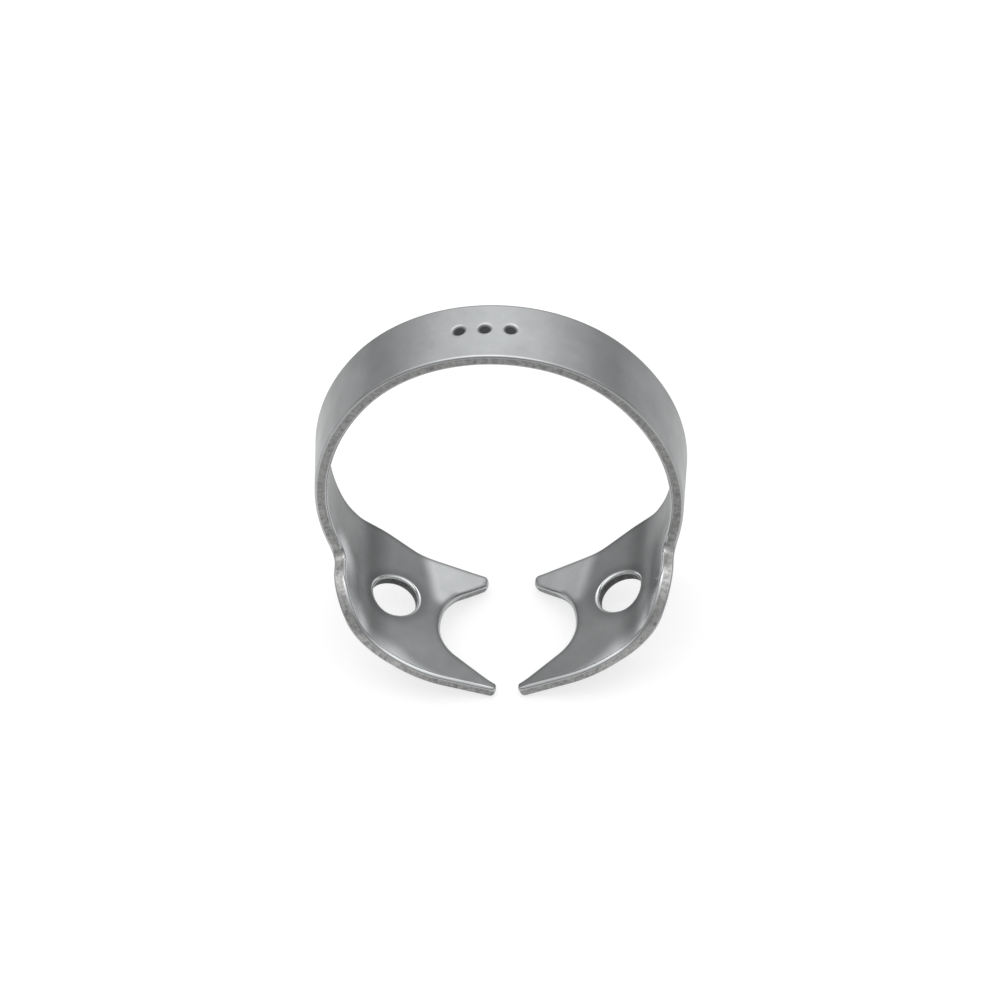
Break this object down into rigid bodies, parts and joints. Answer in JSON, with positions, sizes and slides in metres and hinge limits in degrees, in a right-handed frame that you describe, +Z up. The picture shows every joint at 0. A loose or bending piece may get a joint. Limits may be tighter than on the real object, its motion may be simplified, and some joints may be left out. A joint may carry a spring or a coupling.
{
  "type": "rubber dam clamp",
  "caption": "Rubber dam clamp for a molar: an arched spring steel bow whose inturned jaws have forceps holes and pointed prongs that grip the tooth.",
  "frame": {"origin": "middle of the overall box in X and Y, at the level of the prong tips it stands on", "axes": "+X across the mouth, +Y towards the back of the clamp, where the bow is, +Z up over the tooth"},
  "size_m": [0.0256, 0.0124, 0.0267],
  "materials": {
    "steel": "satin polished stainless spring steel, with a rougher sheared edge"
  },
  "bodies": {
    "root": {"clamp": "steel"}
  },
  "joints": []
}
